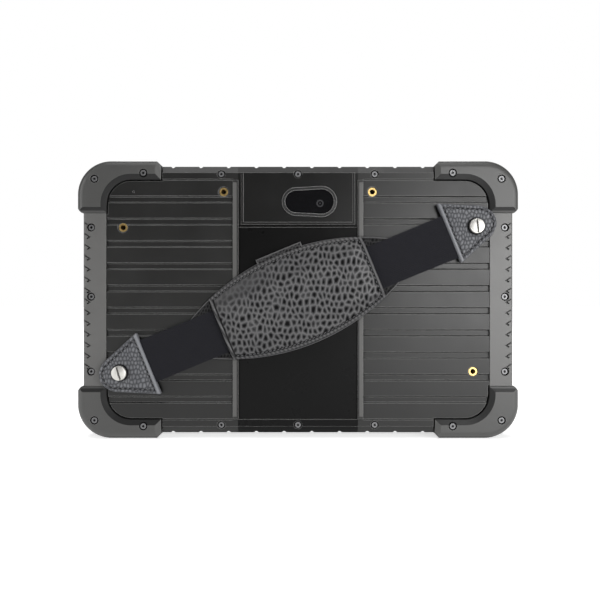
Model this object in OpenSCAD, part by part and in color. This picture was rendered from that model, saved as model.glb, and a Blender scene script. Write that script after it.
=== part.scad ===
// Rugged tablet data collector, standing upright on the feet of its lower corner bumpers.
// The screen faces +Y and the back, with its hand strap, faces -Y.
// Every piece is drawn in the back frame: x to the right, y up from the tablet's middle and
// z outward from the back panel's face, so negative z is inside the case.

/* [Overall] */
// Width over the corner bumpers
overall_w = 286; // [245:1:345]
// Height over the corner bumpers
overall_h = 180; // [172:1:220]
// Thickness of the case, without the bumpers
case_t = 21.5; // [20.5:0.5:30]

/* [Case] */
// Thickness of the case's side walls
wall = 3; // [2.6:0.1:3.6]
// Thickness of the back panel
back_wall = 2.6; // [2.4:0.1:3.4]
// Thickness of the front wall round the screen
front_wall = 2.5; // [2.2:0.1:3]
// Depth at which the rear cover meets the front housing
split_depth = 7; // [6.8:0.1:8]
// Corner radius of the case under the bumpers
case_r = 18; // [16:0.5:22]
// Thickness of the chassis plate
plate_t = 1.2; // [0.8:0.1:1.5]
// Width of the rubber seal between the shells
seal_w = 1.4; // [1:0.1:1.6]
// Thickness of that seal
seal_t = 1; // [0.6:0.1:1.4]

/* [Corner bumpers] */
// Thickness of a bumper past the case's side edge
bumper_side = 4.2; // [3.5:0.1:6]
// Thickness of a bumper past the case's top or bottom edge
bumper_end = 3.7; // [3:0.1:5.5]
// How far a bumper stands proud of the back panel
bumper_proud = 1.5; // [1:0.1:2.5]
// How far a bumper stands proud of the front
bumper_front = 1; // [0.8:0.1:2]
// Length of a bumper's arm along the top or bottom edge
arm_x = 54.7; // [44:0.1:60]
// Length of a bumper's arm along the side edge
arm_y = 34; // [29:0.1:37]
// Width of the vertical arm's flange on the back
flange_x = 19.6; // [18:0.1:24]
// Width of the horizontal arm's flange on the back
flange_y = 12.7; // [12:0.1:16]
// Width of the flange on the front
front_flange = 9; // [7:0.5:11]
// Outer corner radius of a bumper
bumper_r = 22; // [19:0.5:28]
// Corner radius of the back panel inside the bumpers
panel_r = 16; // [12:0.5:20]
// Width of the bevel along a bumper's inner edges
bevel_w = 3.5; // [2:0.1:4.5]
// Drop of that bevel
bevel_h = 1; // [0.6:0.1:1.3]
// Rounding of a bumper's outer edges on the back
bumper_round = 5; // [2:0.1:6]
// Rounding of its outer edges on the front
bumper_front_round = 2.6; // [1.5:0.1:3]
// Chamfer of the outer corner at the end of an arm
arm_chamfer = 3.4; // [2:0.1:3.6]
// Width of the slot between a bumper and the back panel
bumper_slot = 0.9; // [0.3:0.1:1.2]

/* [Back panel] */
// Distance between the horizontal grooves
groove_pitch = 14.36; // [11:0.02:18]
// Width of a groove at the surface
groove_w = 4.6; // [3.6:0.1:5.6]
// Depth of a groove
groove_depth = 0.9; // [0.5:0.1:1.2]
// Distance of an upright rib's middle from the centre line
rib_x = 40.25; // [38:0.25:52]
// Width of an upright rib
rib_w = 3.5; // [2.8:0.1:4.5]
// Height of an upright rib above the panel
rib_h = 0.7; // [0.4:0.1:0.8]
// Height of the camera's panel, from the top edge down
camera_panel_h = 37.9; // [33:0.1:45]
// Width of the sloped rim along the top and bottom edges
rim_w = 4.5; // [3.6:0.1:5]
// Drop of that rim
rim_drop = 2.4; // [1.6:0.1:3]
// Distance between the notches in the rim's outer edge
notch_pitch = 18; // [14:0.5:22]
// Width of a notch
notch_w = 2.6; // [2:0.1:3.2]
// Width of the crease along the panel's top and bottom
crease_w = 0.8; // [0.5:0.1:1.2]
// Depth of that crease
crease_depth = 0.3; // [0.2:0.1:0.6]

/* [Side rails] */
// Width of a rubber side rail on the back
rail_w = 15.1; // [14.5:0.1:17]
// Thickness of a rail
rail_t = 1.2; // [1:0.1:1.5]
// How far a rail stands proud of the back panel
rail_proud = 0.3; // [0.1:0.1:0.4]
// Rounding of a rail's outer edge
rail_round = 2; // [1:0.1:2.2]
// Distance between a rail's teeth
tooth_pitch = 7; // [6:0.1:8.5]
// Teeth on each rail
tooth_count = 14; // [8:1:14]

/* [Screws] */
// Distance of the case screws from the case's edge
screw_inset = 5.3; // [5:0.1:6]
// Distance between the case screws along the top and bottom
screw_pitch = 49.5; // [40:0.5:52]
// Diameter of a small screw's head
screw_head_d = 3.7; // [3.4:0.1:4.6]
// Height of that head
screw_head_h = 1.4; // [1:0.1:1.6]
// Diameter of a small screw's thread
screw_d = 2; // [1.6:0.1:2.4]
// Diameter of the counterbore for a small screw's head
counterbore_d = 5.3; // [5:0.1:6]
// Depth of the counterbore in the back panel
counterbore_depth = 1.8; // [1.6:0.1:1.9]
// Outer diameter of a screw boss
boss_d = 7.2; // [6.6:0.1:8]

/* [Accessory inserts] */
// Distance of the corner inserts from the case's side edge
insert_inset_x = 25.8; // [24:0.1:34]
// Distance of the corner inserts from the case's top or bottom edge
insert_inset_y = 39.8; // [36:0.1:48]
// Distance between the two top inserts
top_insert_span = 96; // [92:1:115]
// Distance of the top inserts from the case's top edge
top_insert_inset = 16.8; // [16:0.1:22]
// Core diameter of the M4 thread in an insert
insert_core_d = 3.3; // [3.2:0.1:3.4]
// Outer diameter of an insert
insert_d = 5.6; // [5.2:0.1:6]
// Length of an insert
insert_l = 6; // [5:0.1:7]
// Depth of an insert's face below the back panel
insert_sunk = 0.6; // [0.4:0.1:1.2]
// Diameter of the recess over an insert
insert_mouth_d = 6.8; // [6.4:0.1:7.4]

/* [Camera] */
// Distance of the window's middle line from the case's top edge
camera_drop = 23.2; // [21:0.1:25]
// Distance of the window's narrow end from the tablet's middle
window_x1 = -1.2; // [-4:0.1:2]
// Distance of the window's wide end from the tablet's middle
window_x2 = 15.1; // [10:0.1:20]
// Radius of the narrow end of the trim ring
trim_r1 = 9; // [8:0.1:10]
// Radius of the wide end of the trim ring
trim_r2 = 9.9; // [8.5:0.1:11]
// Width of the trim ring
trim_w = 1.9; // [1.2:0.1:2.2]
// How far the trim ring stands proud
trim_proud = 0.9; // [0.6:0.1:1.2]
// Diameter of the camera's lens barrel
lens_d = 8.4; // [6:0.1:9]
// Diameter of the lamp beside the lens
lamp_d = 4.4; // [3:0.1:5]
// Distance of the lamp from the tablet's middle
lamp_x = 2; // [-3:0.1:3]

/* [Hand strap] */
// Length of the padded sleeve
sleeve_l = 105; // [86:1:124]
// Width of the sleeve at its middle
sleeve_w = 59.5; // [50:0.5:66]
// Width of the sleeve at its ends
sleeve_end_w = 41.5; // [36:0.5:46]
// Height of the sleeve's crown above the back panel
sleeve_top = 10; // [9.4:0.1:12]
// Length of the pad under the sleeve
base_l = 140; // [126:1:144]
// Width of that pad at its middle
base_w = 62; // [56:1:70]
// Width of that pad at its ends
base_end_w = 25; // [12:1:28]
// Thickness of that pad
base_t = 1.6; // [1.2:0.1:1.8]
// Distance of the sleeve and the pad from the line through the strap's screws
pad_shift = 1; // [0:0.1:2]
// Width of the elastic
elastic_w = 29; // [24:0.5:34]
// Thickness of the elastic
elastic_t = 1.4; // [1:0.1:1.6]
// Distance of the elastic's middle from the back panel
elastic_level = 4.2; // [4:0.1:4.6]
// Width of an end tab at its inner edge
tab_w = 39.2; // [36:0.1:46]
// Width of an end tab near its outer end
tab_end_w = 22; // [18:0.1:25]
// Reach of an end tab from its screw towards the pad
tab_in = 20.7; // [18:0.1:24]
// Reach of an end tab from its screw outward
tab_out = 13.3; // [11:0.1:14]
// Thickness of an end tab
tab_t = 5.4; // [5:0.1:6]
// Corner radius of an end tab
tab_r = 5; // [3:0.5:7]
// Diameter of a strap screw's head
strap_head_d = 9.2; // [8:0.1:11]
// Height of that head
strap_head_h = 2.6; // [2:0.1:3]
// Length of the closure flap along the sleeve
flap_l = 31; // [24:1:40]
// How far the flap sticks out past the sleeve
flap_out = 3; // [2:0.5:6]

/* [Screen] */
// Width of the front wall beside the glass
glass_margin_x = 18.8; // [18.6:0.1:22]
// Width of the front wall above and below the glass
glass_margin_y = 10.3; // [10:0.1:13]
// Thickness of the cover glass
glass_t = 1.1; // [0.7:0.1:1.2]
// Width of the black border between the glass's edge and the opening, at the sides
border_x = 9; // [8:0.1:12]
// Width of that border at the top and bottom
border_y = 5.5; // [5:0.1:8]
// Thickness of the display panel
display_t = 4; // [3:0.1:4]

/* [Front keys] */
// Width of a key
key_w = 9; // [7:0.1:10]
// Length of a key
key_l = 10.5; // [8:0.1:11.5]
// Distance between two neighbouring keys
key_pitch = 15; // [13.5:0.1:16]
// Distance of the two inner keys from the tablet's middle, past the middle screw
key_start = 12.5; // [12.5:0.1:14]
// How far a key stands proud of the front
key_proud = 0.6; // [0.5:0.1:0.8]
// How far a key can be pressed
key_travel = 0.5; // [0.3:0.1:0.5]

/* [Side ports] */
// Width of the rubber port cover
door_w = 9.8; // [9.2:0.1:11]
// Thickness of the port cover
door_t = 1.4; // [1.2:0.1:1.5]
// How far the pull tab stands out
pull_out = 3; // [2:0.1:4]

/* [Fits] */
// Gap between pieces that are fixed together
fit_gap = 0.1; // [0.05:0.05:0.15]
// Gap round pieces that move or flex
move_gap = 0.3; // [0.2:0.05:0.35]

/* [Hidden] */
$fn = 48;
tiny = 0.01;

case_w = overall_w - 2 * bumper_side;
case_h = overall_h - 2 * bumper_end;
panel_w = case_w + 2 * bumper_side - 2 * flange_x;
panel_h = case_h + 2 * bumper_end - 2 * flange_y;
arm_end_x = overall_w / 2 - arm_x;
arm_end_y = overall_h / 2 - arm_y;
// Depth of the seats in the rear cover for the rails and the bumpers
seat_depth = rail_t;

// The bounding box runs from the bumpers' front to the crown of the hand pad
back_y = (sleeve_top - case_t - bumper_front) / 2;

// Levels inside the case
wall_front = -case_t + front_wall;
split = -split_depth;
glass_floor = -case_t + glass_t + 0.2;
display_front = wall_front + fit_gap;
plate_front = display_front + display_t + 0.9;
plate_back = plate_front + plate_t;
board_t = 1.2;
board_front = plate_back + 1;
board_back = board_front + board_t;

// Small screws
case_screw_y = case_h / 2 - screw_inset;
case_screw_x = case_w / 2 - screw_inset;
side_screw_y = arm_end_y - 9.5;
bumper_screw_a = [case_w / 2 - 8, case_h / 2 - 8.7];
bumper_screw_b = [case_w / 2 - 39.4, case_h / 2 - 4.9];
case_screws_at = concat(
    [for (x = [-1, 0, 1], y = [-1, 1]) [x * screw_pitch, y * case_screw_y]],
    [for (x = [-1, 1], y = [-1, 0.04, 1]) [x * case_screw_x, y * side_screw_y]]
);
bumper_screws_at = [for (x = [-1, 1], y = [-1, 1], p = [bumper_screw_a, bumper_screw_b]) [x * p[0], y * p[1]]];
all_screws_at = concat(case_screws_at, bumper_screws_at);
screw_clear_d = screw_d + 0.4;
thread_gap = 0.05;
screw_end = plate_front - 3;

// Accessory inserts
insert_x = case_w / 2 - insert_inset_x;
insert_y = case_h / 2 - insert_inset_y;
top_insert_y = case_h / 2 - top_insert_inset;
inserts_at = concat(
    [for (x = [-1, 1], y = [-1, 1]) [x * insert_x, y * insert_y]],
    [for (x = [-1, 1]) [x * top_insert_span / 2, top_insert_y]]
);
insert_boss_d = insert_d + 3.4;

// Camera
camera_y = case_h / 2 - camera_drop;
camera_seat = 1.3;

// Hand strap
strap_angle = atan2(insert_y, insert_x);
strap_reach = norm([insert_x, insert_y]);
tab_bottom = rail_proud + 0.2;
tab_top = tab_bottom + tab_t;
base_bottom = rib_h + 0.2;
sleeve_bottom = base_bottom + base_t + 0.1;
sleeve_round = 2.6;
flap_t = 1.1;

// Keys, along the front's edge on the -X side
key_x = -(case_w / 2 - glass_margin_x + 1.7 + key_w / 2);
key_ys = [key_start + key_pitch, key_start, -key_start, -key_start - key_pitch];
key_flange = 0.8;
key_room = 0.2;
key_board_w = 9.5;
key_board_x = key_x + key_board_w / 2 - 3;
key_post_y = key_start + key_pitch + key_l / 2 + 4.9;
key_board_front = wall_front + 2.8;
switch_h = key_board_front - (wall_front + fit_gap + key_flange + key_travel + 0.3);

// Side ports, below the middle screw on the +X side
port_board_front = wall_front + 1.5;
port_board_back = port_board_front + board_t;
port_top = 0.04 * side_screw_y - boss_d / 2 - 0.9;
port_bottom = -side_screw_y + boss_d / 2 + 0.7;
usb_size = [13.1, 5.7];
hdmi_size = [11.2, 3.4];
power_size = [9, 6];
port_space = (port_top - port_bottom - usb_size[0] - hdmi_size[0] - power_size[0]) / 4;
power_y = port_bottom + port_space + power_size[0] / 2;
usb_y = power_y + power_size[0] / 2 + port_space + usb_size[0] / 2;
hdmi_y = usb_y + usb_size[0] / 2 + port_space + hdmi_size[0] / 2;
port_face = case_w / 2 - wall - 0.2;
port_room = 0.3;
door_mid = port_board_back + 2.6;
hinge_r = 1;
hinge_x = case_w / 2 - hinge_r;
hinge_y = 0.04 * side_screw_y - 0.6;
door_end = -side_screw_y + 0.4;

// Colours
dark_shell = "#2f2f2e";
mid_shell = "#3c3c3b";
bumper_grey = "#575755";
rail_grey = "#62615f";
rubber_black = "#262626";
leather_black = "#3b3b3d";
brass = "#b08d45";
nickel = "#c9c8c2";
board_green = "#1f5c3a";

// ---------- shared shapes ----------

module back_frame() {
    translate([0, back_y, overall_h / 2]) rotate([90, 0, 0]) children();
}

module strap_frame() {
    back_frame() rotate([0, 0, strap_angle]) children();
}

// Extrudes an outline between two levels
module slab(low, high) {
    translate([0, 0, low]) linear_extrude(high - low) children();
}

module rounded_rect(w, h, r) {
    square([w - 2 * r, h], center = true);
    square([w, h - 2 * r], center = true);
    for (x = [-1, 1], y = [-1, 1]) translate([x * (w / 2 - r), y * (h / 2 - r)]) circle(r);
}

// A point on a round end of the camera window, a hair inside its edge
function window_point(x, r, a) = [x, 0] + (r - 0.01) * [cos(a), sin(a)];

// The camera window's outline as a block, inset by the given amount: two round ends, and the
// straight flanks between their outer tangents
module window_block(inset, low, high) {
    r1 = trim_r1 - inset;
    r2 = trim_r2 - inset;
    a = acos((r1 - r2) / (window_x2 - window_x1));
    translate([0, camera_y, low]) {
        translate([window_x1, 0, 0]) cylinder(r = r1, h = high - low);
        translate([window_x2, 0, 0]) cylinder(r = r2, h = high - low);
        linear_extrude(high - low) polygon([
            window_point(window_x1, r1, a), window_point(window_x2, r2, a),
            window_point(window_x2, r2, -a), window_point(window_x1, r1, -a)
        ]);
    }
}

// Sweeps a profile along one quarter of a rounded rectangle: its x points outward from the path
module sweep_quarter(w, h, r) {
    translate([w / 2, 0, 0]) rotate([90, 0, 0]) translate([0, 0, r - h / 2]) linear_extrude(h / 2 - r) children();
    translate([w / 2 - r, h / 2 - r, 0]) rotate_extrude(angle = 90) translate([r, 0]) children();
    mirror([1, -1, 0]) translate([h / 2, 0, 0]) rotate([90, 0, 0])
        translate([0, 0, r - w / 2]) linear_extrude(w / 2 - r) children();
}

module sweep_around(w, h, r) {
    for (x = [0, 1], y = [0, 1]) mirror([x, 0, 0]) mirror([0, y, 0]) sweep_quarter(w, h, r) children();
}

// What a rounding of radius r takes off an edge at the given level; side is 1 for an upper edge
module edge_rounding(r, level, side) {
    translate([0, level]) scale([1, side]) difference() {
        translate([-r, -r]) square(r + 1);
        translate([-r, -r]) circle(r);
    }
}

module case_outline() {
    rounded_rect(case_w, case_h, case_r);
}

module cavity_outline(gap = 0) {
    rounded_rect(case_w - 2 * wall - 2 * gap, case_h - 2 * wall - 2 * gap, case_r - wall - gap);
}

module at_each(points) {
    for (p = points) translate([p[0], p[1], 0]) children();
}

// ---------- rear cover ----------

module screw_passage(points, floor_level, top_level) {
    at_each(points) {
        translate([0, 0, floor_level]) cylinder(d = counterbore_d, h = top_level - floor_level);
        translate([0, 0, plate_front - 1]) cylinder(d = screw_clear_d, h = floor_level - plate_front + 2);
    }
}

module cover_bosses() {
    slab(split, -back_wall + tiny) intersection() {
        case_outline();
        for (p = all_screws_at) translate(p) circle(d = boss_d);
    }
    slab(plate_back, split + tiny) intersection() {
        cavity_outline(fit_gap);
        for (p = all_screws_at) translate(p) circle(d = boss_d);
    }
    at_each(inserts_at) translate([0, 0, -insert_sunk - insert_l - 1])
        cylinder(d = insert_boss_d, h = insert_l + insert_sunk + 1 - back_wall + tiny);
}

module groove(length) {
    rotate([90, 0, 90]) linear_extrude(length)
        polygon([
            [-groove_w / 2, tiny], [-groove_w / 2, 0], [-groove_w / 2 + 0.8, -groove_depth],
            [groove_w / 2 - 0.8, -groove_depth], [groove_w / 2, 0], [groove_w / 2, tiny]
        ]);
}

module panel_grooves() {
    rows = floor(panel_h / 2 / groove_pitch);
    start = rib_x + rib_w / 2;
    for (side = [0, 1], row = [0 : rows - 1], half = [-1, 1])
        mirror([side, 0, 0]) translate([start, half * (row + 0.5) * groove_pitch, 0])
            groove(case_w / 2 - rail_w - start + 0.2);
}

// The sloped rims of the top and bottom edges, with round notches in their outer edges, and the
// creases between the rims and the panel
module rim_cuts() {
    run = 2 * arm_end_x;
    notches = floor((run / 2 - notch_w) / notch_pitch + 0.5);
    crease_start = rib_x + rib_w / 2;
    for (side = [0, 1]) mirror([0, side, 0]) {
        translate([0, case_h / 2, 0]) rotate([90, 0, 90]) translate([0, 0, -run / 2]) linear_extrude(run)
            polygon([[-rim_w, 1], [-rim_w, 0], [0, -rim_drop], [1, -rim_drop], [1, 1]]);
        for (i = [0 : notches - 1], half = [-1, 1])
            translate([half * (i + 0.5) * notch_pitch, case_h / 2 + notch_w / 8, split - 1])
                cylinder(d = notch_w, h = split_depth + 2);
        for (half = [0, 1]) mirror([half, 0, 0])
            translate([crease_start, panel_h / 2 - crease_w / 2, -crease_depth])
                cube([arm_end_x + bumper_slot - crease_start, crease_w, 1]);
    }
}

module cover_back_details() {
    for (side = [-1, 1]) translate([side * rib_x, 0, -tiny])
        linear_extrude(rib_h + tiny) square([rib_w, panel_h - 0.6], center = true);
    camera_panel(-tiny, 0.4, 0);
    difference() {
        camera_panel(-tiny, 0.65, 0);
        camera_panel(-1, 1, 1.5);
    }
}

module camera_panel(low, high, inset) {
    half = rib_x - rib_w / 2 - 1.8 - inset;
    bottom = case_h / 2 - camera_panel_h + inset;
    translate([-half, bottom, low]) cube([2 * half, case_h / 2 - rim_w - bottom, high - low]);
}

module rail_seats() {
    for (side = [0, 1]) mirror([side, 0, 0]) {
        translate([case_w / 2 - rail_w - fit_gap, -arm_end_y, -seat_depth])
            cube([rail_w + 1, 2 * arm_end_y, seat_depth + 2]);
        translate([case_w / 2 - rail_t - fit_gap, -arm_end_y, split - 1]) cube([rail_t + 1, 2 * arm_end_y, split_depth + 2]);
    }
}

module rear_cover() {
    color(dark_shell) back_frame() difference() {
        union() {
            difference() {
                slab(split, 0) case_outline();
                slab(split - 1, -back_wall) cavity_outline();
            }
            cover_bosses();
            cover_back_details();
        }
        panel_grooves();
        translate([-rib_x + rib_w / 2, -panel_h / 2, -0.4])
            cube([2 * rib_x - rib_w, panel_h / 2 + case_h / 2 - camera_panel_h - 1.8, 1]);
        rim_cuts();
        rail_seats();
        for (x = [0, 1], y = [0, 1]) mirror([x, 0, 0]) mirror([0, y, 0])
            slab(-seat_depth, 3) bumper_outline(bumper_slot);
        screw_passage(case_screws_at, -counterbore_depth, 3);
        at_each(bumper_screws_at) translate([0, 0, plate_front - 1]) cylinder(d = screw_clear_d, h = case_t);
        at_each(inserts_at) {
            translate([0, 0, -insert_sunk]) cylinder(d = insert_mouth_d, h = 3);
            translate([0, 0, -insert_sunk - insert_l - fit_gap]) cylinder(d = insert_d + 2 * fit_gap, h = insert_l + 1);
        }
        window_block(-fit_gap, -camera_seat, 3);
        window_block(trim_w + 0.6, -back_wall - 1, 3);
        translate([-insert_x + 7, top_insert_y, -back_wall - 1]) cylinder(d = 1.3, h = 5);
    }
}

// ---------- corner bumpers ----------

module bumper_outline(gap) {
    difference() {
        translate([arm_end_x - gap, arm_end_y - gap]) square([arm_x + gap, arm_y + gap]);
        rounded_rect(panel_w - 2 * gap, panel_h - 2 * gap, panel_r - gap);
    }
}

// What comes off the outer corner at the end of an arm that runs along +x below the origin
module arm_end_cut() {
    polygon([[-1, 1], [arm_chamfer, 1], [arm_chamfer, 0], [0, -arm_chamfer], [-1, -arm_chamfer]]);
}

module bevel_profile() {
    low = bumper_proud - bevel_h;
    polygon([[-1, low], [0, low], [bevel_w, bumper_proud], [bevel_w, bumper_proud + 1], [-1, bumper_proud + 1]]);
}

module corner_bumper(x, y) {
    outer = -case_t - bumper_front;
    color(bumper_grey) back_frame() mirror([x, 0, 0]) mirror([0, y, 0]) difference() {
        slab(outer, bumper_proud) intersection() {
            rounded_rect(overall_w, overall_h, bumper_r);
            bumper_outline(0);
        }
        slab(outer - 1, bumper_proud + 1) {
            translate([arm_end_x, overall_h / 2]) arm_end_cut();
            mirror([1, -1]) translate([arm_end_y, overall_w / 2]) arm_end_cut();
        }
        slab(-case_t, -seat_depth + tiny) rounded_rect(case_w + 2 * fit_gap, case_h + 2 * fit_gap, case_r + fit_gap);
        slab(outer - 1, -case_t + tiny)
            rounded_rect(overall_w - 2 * front_flange, overall_h - 2 * front_flange, bumper_r - front_flange);
        sweep_quarter(overall_w, overall_h, bumper_r) {
            edge_rounding(bumper_round, bumper_proud, 1);
            edge_rounding(bumper_front_round, outer, -1);
        }
        sweep_quarter(panel_w, panel_h, panel_r) bevel_profile();
        translate([arm_end_x, overall_h / 2 + 1, 0]) rotate([90, 0, 0]) linear_extrude(flange_y + 2) bevel_profile();
        mirror([1, -1, 0]) translate([arm_end_y, overall_w / 2 + 1, 0]) rotate([90, 0, 0])
            linear_extrude(flange_x + 2) bevel_profile();
        screw_passage([bumper_screw_a, bumper_screw_b], 0, 3);
        // Room for the round corner of a strap tab, where it comes near the end of the arm
        rotate([0, 0, strap_angle])
            translate([strap_reach + tab_out - tab_r, tab_end_w / 2 - tab_r, tab_bottom - thread_gap])
            cylinder(r = tab_r + thread_gap, h = bumper_proud + 1);
    }
}

module corner_bumper_top_left() {
    corner_bumper(1, 0);
}

module corner_bumper_top_right() {
    corner_bumper(0, 0);
}

module corner_bumper_bottom_left() {
    corner_bumper(1, 1);
}

module corner_bumper_bottom_right() {
    corner_bumper(0, 1);
}

// ---------- side rails ----------

// One hooked tooth groove, from the rail's outer edge in and down, then back out
module tooth_groove() {
    linear_extrude(3) polygon([[1, 2.4], [0, 2.4], [-5.4, -1.2], [-3.2, -2.6], [-2.4, -1.9], [-3.8, -1], [0, 1], [1, 1]]);
}

module side_rail(mirrored) {
    length = 2 * (arm_end_y - move_gap);
    edge = case_w / 2;
    color(rail_grey) back_frame() mirror([mirrored, 0, 0]) difference() {
        union() {
            translate([edge - rail_w, -length / 2, -seat_depth]) cube([rail_w, length, seat_depth + rail_proud]);
            translate([edge - rail_t, -length / 2, split + 0.3]) cube([rail_t, length, split_depth]);
        }
        translate([edge, length / 2 + 1, 0]) rotate([90, 0, 0])
            linear_extrude(length + 2) edge_rounding(rail_round, rail_proud, 1);
        for (i = [0 : tooth_count - 1])
            translate([edge, 3 + (i - (tooth_count - 1) / 2) * tooth_pitch, rail_proud - 0.7]) tooth_groove();
        for (y = [-1, 0.04, 1]) translate([case_screw_x, y * side_screw_y, -seat_depth - 1])
            cylinder(d = counterbore_d, h = 5);
    }
}

module side_rail_left() {
    side_rail(1);
}

module side_rail_right() {
    side_rail(0);
}

// ---------- screws and inserts ----------

module small_screw(seat) {
    difference() {
        union() {
            translate([0, 0, seat]) cylinder(d = screw_head_d, h = screw_head_h);
            translate([0, 0, screw_end]) cylinder(d = screw_d, h = seat - screw_end + tiny);
        }
        translate([0, 0, seat + screw_head_h - 0.8]) cylinder(d = 1.8, h = 2, $fn = 6);
    }
}

module case_screws() {
    color("#1d1d1e") back_frame() at_each(case_screws_at) small_screw(-counterbore_depth);
}

module bumper_screws() {
    color("#1d1d1e") back_frame() at_each(bumper_screws_at) small_screw(0);
}

module threaded_inserts() {
    color(brass) back_frame() at_each(inserts_at) difference() {
        translate([0, 0, -insert_sunk - insert_l]) cylinder(d = insert_d, h = insert_l);
        translate([0, 0, -insert_sunk - insert_l - 1]) cylinder(d = insert_core_d, h = insert_l + 2);
    }
}

// ---------- rear camera ----------

module camera_trim() {
    color("#8e8e8c") back_frame() difference() {
        window_block(0, -camera_seat, trim_proud);
        window_block(trim_w, -camera_seat - 1, trim_proud + 1);
    }
}

module camera_window() {
    color("#15171a") back_frame() window_block(trim_w + fit_gap, -camera_seat, 0.2);
}

module rear_camera_module() {
    color("#26262a") back_frame() translate([window_x2 - 0.9, camera_y - 1.1, 0]) {
        translate([0, 0, -4.4]) cylinder(d = lens_d, h = 4.4 - camera_seat - fit_gap);
        translate([-5, -5, -5.8]) cube([10, 10, 1.4 + tiny]);
    }
}

module flash_lamp() {
    color("#e9e2b4") back_frame() translate([lamp_x, camera_y - 0.9, -2.4])
        cylinder(d = lamp_d, h = 2.4 - camera_seat - fit_gap);
}

// ---------- front housing and screen ----------

glass_w = case_w - 2 * glass_margin_x;
glass_h = case_h - 2 * glass_margin_y;
opening_w = glass_w - 2 * border_x;
opening_h = glass_h - 2 * border_y;
display_w = opening_w + 7.5;
display_h = opening_h + 8;
speaker_size = [12, 21, 4];
speaker_x = case_w / 2 - 14.4;
speaker_y = -(case_h / 2 - 24.5);
front_camera_at = [24, case_h / 2 - 5.6];

module key_outline(room) {
    rounded_rect(key_w + 2 * room, key_l + 2 * room, 1.5 + room);
}

module key_places() {
    for (y = key_ys) translate([key_x, y]) children();
}

module housing_posts() {
    for (y = [-1, 1]) translate([key_board_x, y * key_post_y, wall_front - tiny])
        cylinder(d = 3.4, h = key_board_front - wall_front + tiny);
    for (y = [port_bottom + 2, port_top - 2]) translate([port_face - 15, y, wall_front - tiny])
        cylinder(d = 3, h = port_board_front - wall_front + tiny);
}

module port_openings() {
    for (p = [[usb_y, usb_size], [hdmi_y, hdmi_size], [power_y, power_size]])
        translate([case_w / 2 - wall - 1, p[0] - p[1][0] / 2 - port_room, port_board_back - port_room])
            cube([wall + 2, p[1][0] + 2 * port_room, p[1][1] + 2 * port_room]);
}

module door_recess() {
    low = door_mid - door_w / 2 - move_gap;
    translate([case_w / 2 - door_t - move_gap, door_end - move_gap, low])
        cube([door_t + 2, hinge_y - door_end + move_gap, door_w + 2 * move_gap]);
    translate([hinge_x, hinge_y, low]) cylinder(r = hinge_r + move_gap, h = door_w + 2 * move_gap);
    translate([hinge_x, hinge_y - hinge_r, low])
        cube([hinge_r + 1, 2 * hinge_r + move_gap + 0.4, door_w + 2 * move_gap]);
}

module front_housing() {
    color(mid_shell) back_frame() difference() {
        union() {
            difference() {
                slab(-case_t, split) case_outline();
                slab(wall_front, split + 1) cavity_outline();
            }
            slab(wall_front - tiny, plate_front) intersection() {
                case_outline();
                for (p = all_screws_at) translate(p) circle(d = boss_d);
            }
            housing_posts();
        }
        slab(-case_t - 1, glass_floor) rounded_rect(glass_w + 2 * fit_gap, glass_h + 2 * fit_gap, 3 + fit_gap);
        slab(-case_t - 1, wall_front + 1) square([opening_w, opening_h], center = true);
        sweep_around(case_w - wall, case_h - wall, case_r - wall / 2)
            translate([-seal_w / 2 - 0.05, split - seal_t]) square([seal_w + 0.1, seal_t + 1]);
        sweep_around(case_w, case_h, case_r) edge_rounding(2, -case_t, -1);
        at_each(all_screws_at) translate([0, 0, screw_end - 0.5])
            cylinder(d = screw_d + 2 * thread_gap, h = split - screw_end + 1);
        slab(-case_t - 1, wall_front + 0.5) key_places() key_outline(key_room);
        for (side = [-1, 1], i = [-2 : 2])
            translate([side * speaker_x - 4, speaker_y + 3 * i - 0.6, -case_t - 1]) cube([8, 1.2, front_wall + 2]);
        translate([front_camera_at[0], front_camera_at[1], -case_t - 1]) cylinder(d = 5.2, h = front_wall + 2);
        port_openings();
        door_recess();
    }
}

module perimeter_seal() {
    color(rubber_black) back_frame() sweep_around(case_w - wall, case_h - wall, case_r - wall / 2)
        translate([-seal_w / 2, split - seal_t]) square([seal_w, seal_t]);
}

module chassis_plate() {
    color("#8b8d90") back_frame() difference() {
        union() {
            slab(plate_front, plate_back) cavity_outline(fit_gap);
            for (p = main_board_corners) translate([p[0], p[1], plate_back - tiny])
                cylinder(d = 4, h = board_front - plate_back + tiny);
        }
        translate([port_face - 19.5, port_bottom - 0.4, plate_front - 1]) cube([30, port_top - port_bottom + 0.8, 5]);
        at_each(all_screws_at) translate([0, 0, plate_front - 1]) cylinder(d = screw_clear_d, h = 5);
        for (x = [-1, 1]) translate([x * 60 - 10, -4, plate_front - 1]) cube([20, 3, 5]);
    }
}

module cover_glass() {
    color("#0d0f12") back_frame() slab(-case_t + 0.2, glass_floor) rounded_rect(glass_w, glass_h, 3);
}

module display_panel() {
    color("#1b2127") back_frame() slab(display_front, display_front + display_t)
        square([display_w, display_h], center = true);
}

module front_camera_module() {
    color("#18191c") back_frame() translate([front_camera_at[0], front_camera_at[1], 0]) {
        translate([0, 0, -case_t + 0.3]) cylinder(d = 5, h = front_wall);
        translate([-3.5, -3.5, wall_front + fit_gap]) cube([7, 5.5, 2]);
    }
}

// ---------- electronics ----------

main_board_size = [150, 58];
main_board_at = [-18, case_h / 2 - 50];
main_board_corners = [for (x = [-1, 1], y = [-1, 1])
    [main_board_at[0] + x * (main_board_size[0] / 2 - 4), main_board_at[1] + y * (main_board_size[1] / 2 - 4)]];
battery_size = [172, 64];
battery_at = [-12, -(case_h / 2 - 48)];
battery_room = 4.2;

module plate_block(at, size, low, high) {
    translate([at[0] - size[0] / 2, at[1] - size[1] / 2, low]) cube([size[0], size[1], high - low]);
}

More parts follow.
